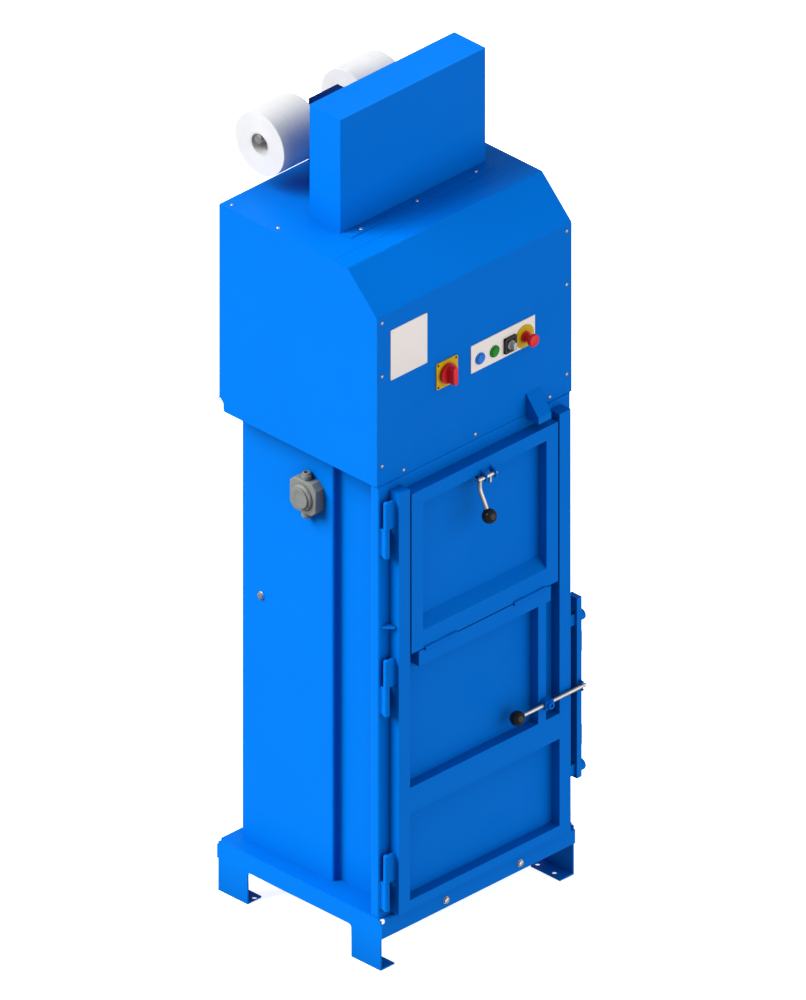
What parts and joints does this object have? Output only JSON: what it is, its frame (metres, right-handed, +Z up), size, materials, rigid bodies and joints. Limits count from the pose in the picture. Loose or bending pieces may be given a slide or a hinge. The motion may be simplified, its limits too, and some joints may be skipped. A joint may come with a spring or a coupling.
{
  "type": "waste compactor",
  "caption": "Upright blue waste compactor with a hydraulic platen, a side-hinged main door, a fold-down filling hatch, a control hood and strap reels.",
  "frame": {"origin": "on the floor at the centre of the outer rectangle of foot holes", "axes": "+X to the right of someone who stands in front of the machine, +Y to the back, +Z up; the door faces -Y"},
  "size_m": [0.6269, 0.6435, 2.055],
  "materials": {
    "blue_paint": "semi-gloss",
    "navy_paint": "semi-gloss",
    "grey_paint": "semi-gloss",
    "plate_white": "satin",
    "zinc_steel": "satin",
    "rod_chrome": "polished",
    "cast_aluminium": "satin",
    "black_plastic": "gloss",
    "dark_plastic": "satin",
    "tank_plastic": "satin",
    "box_grey": "satin",
    "strap_white": "satin",
    "blue_plastic": "gloss",
    "green_plastic": "gloss",
    "grey_plastic": "gloss",
    "red_plastic": "gloss",
    "yellow_plastic": "gloss"
  },
  "bodies": {
    "frame": {"base_tray": "blue_paint", "base_left_side": "blue_paint", "base_right_side": "blue_paint", "left_wall": "blue_paint", "right_wall": "blue_paint", "back_wall": "blue_paint", "left_post": "blue_paint", "right_post": "blue_paint", "lintel": "blue_paint", "cylinder_bridge": "blue_paint", "hood_left_panel": "blue_paint", "hood_right_panel": "blue_paint", "hood_front_cover": "blue_paint", "hood_top_panel": "blue_paint", "hood_back_panel": "blue_paint", "cylinder_cover": "blue_paint", "switch_guard": "blue_paint", "frame_hinge_halves": "blue_paint", "frame_bolts": "zinc_steel", "keeper_studs": "zinc_steel", "left_cylinder": "grey_paint", "right_cylinder": "grey_paint", "hydraulic_tank": "tank_plastic", "pump_motor": "cast_aluminium", "valve_block": "cast_aluminium", "reel_axle": "zinc_steel", "reel_bracket": "navy_paint", "control_plate": "plate_white", "control_bezels": "dark_plastic", "estop_collar": "yellow_plastic", "main_switch_plate": "yellow_plastic", "contact_blocks": "dark_plastic", "junction_box": "box_grey"},
    "main_door": {"door_left_stile": "blue_paint", "door_right_stile": "blue_paint", "door_mid_rail": "blue_paint", "door_bottom_rail": "blue_paint", "door_panel": "blue_paint", "lock_post": "blue_paint", "door_hinge_halves": "blue_paint", "hatch_hinge_rail": "blue_paint", "lock_screws": "blue_paint"},
    "hatch": {"hatch_frame": "blue_paint", "hatch_panel": "blue_paint"},
    "hatch_handle": {"hatch_lever": "zinc_steel", "hatch_lever_ball": "black_plastic"},
    "lock_handle": {"lock_hub": "blue_paint", "lock_lever": "zinc_steel", "lock_lever_ball": "black_plastic"},
    "lock_slider": {"lock_bar": "blue_paint", "lock_claws": "blue_paint"},
    "press": {"platen": "blue_paint", "piston_rods": "rod_chrome"},
    "strap_reel_left": {"left_reel": "strap_white"},
    "strap_reel_right": {"right_reel": "strap_white"},
    "push_blue": {"blue_button": "blue_plastic"},
    "push_green": {"green_button": "green_plastic"},
    "selector": {"selector_knob": "grey_plastic"},
    "stop_button": {"estop_button": "red_plastic"},
    "main_switch": {"main_switch_knob": "red_plastic"}
  },
  "joints": [
    {"name": "door_swing", "type": "hinge", "parent": "frame", "child": "main_door", "pos_m": [-0.294, -0.264, 0.6], "axis": [0, 0, -1], "range_deg": [0, 110]},
    {"name": "hatch_fold", "type": "hinge", "parent": "main_door", "child": "hatch", "pos_m": [0, -0.279, 0.7915], "axis": [1, 0, 0], "range_deg": [0, 90]},
    {"name": "hatch_lever_turn", "type": "hinge", "parent": "hatch", "child": "hatch_handle", "pos_m": [0, -0.29, 1.162], "axis": [1, 0, 0], "range_deg": [-16, 14]},
    {"name": "lock_lever_turn", "type": "hinge", "parent": "main_door", "child": "lock_handle", "pos_m": [0.186, -0.288, 0.5], "axis": [0, 1, 0], "range_deg": [0, 12]},
    {"name": "lock_bar_slide", "type": "slide", "parent": "main_door", "child": "lock_slider", "axis": [0, 0, 1], "range_m": [-0.0233, 0]},
    {"name": "platen_press", "type": "slide", "parent": "frame", "child": "press", "axis": [0, 0, 1], "range_m": [-0.6, 0]},
    {"name": "left_reel_spin", "type": "hinge", "parent": "frame", "child": "strap_reel_left", "pos_m": [-0.1315, 0.228, 1.882], "axis": [1, 0, 0], "continuous": true},
    {"name": "right_reel_spin", "type": "hinge", "parent": "frame", "child": "strap_reel_right", "pos_m": [0.1525, 0.228, 1.882], "axis": [1, 0, 0], "continuous": true},
    {"name": "blue_button_press", "type": "slide", "parent": "frame", "child": "push_blue", "axis": [0, 1, 0], "range_m": [0, 0.003], "stiffness_N_per_m": 600},
    {"name": "green_button_press", "type": "slide", "parent": "frame", "child": "push_green", "axis": [0, 1, 0], "range_m": [0, 0.003], "stiffness_N_per_m": 600},
    {"name": "selector_turn", "type": "hinge", "parent": "frame", "child": "selector", "pos_m": [0.1075, -0.248, 1.439], "axis": [0, 1, 0], "range_deg": [-45, 45]},
    {"name": "stop_button_press", "type": "slide", "parent": "frame", "child": "stop_button", "axis": [0, 1, 0], "range_m": [0, 0.004], "stiffness_N_per_m": 1500},
    {"name": "main_switch_turn", "type": "hinge", "parent": "frame", "child": "main_switch", "pos_m": [-0.088, -0.248, 1.445], "axis": [0, 1, 0], "range_deg": [0, 90]}
  ],
  "couplings": [
    {"joint": "lock_bar_slide", "follows": "lock_lever_turn", "m_per_rad": -0.1111}
  ]
}
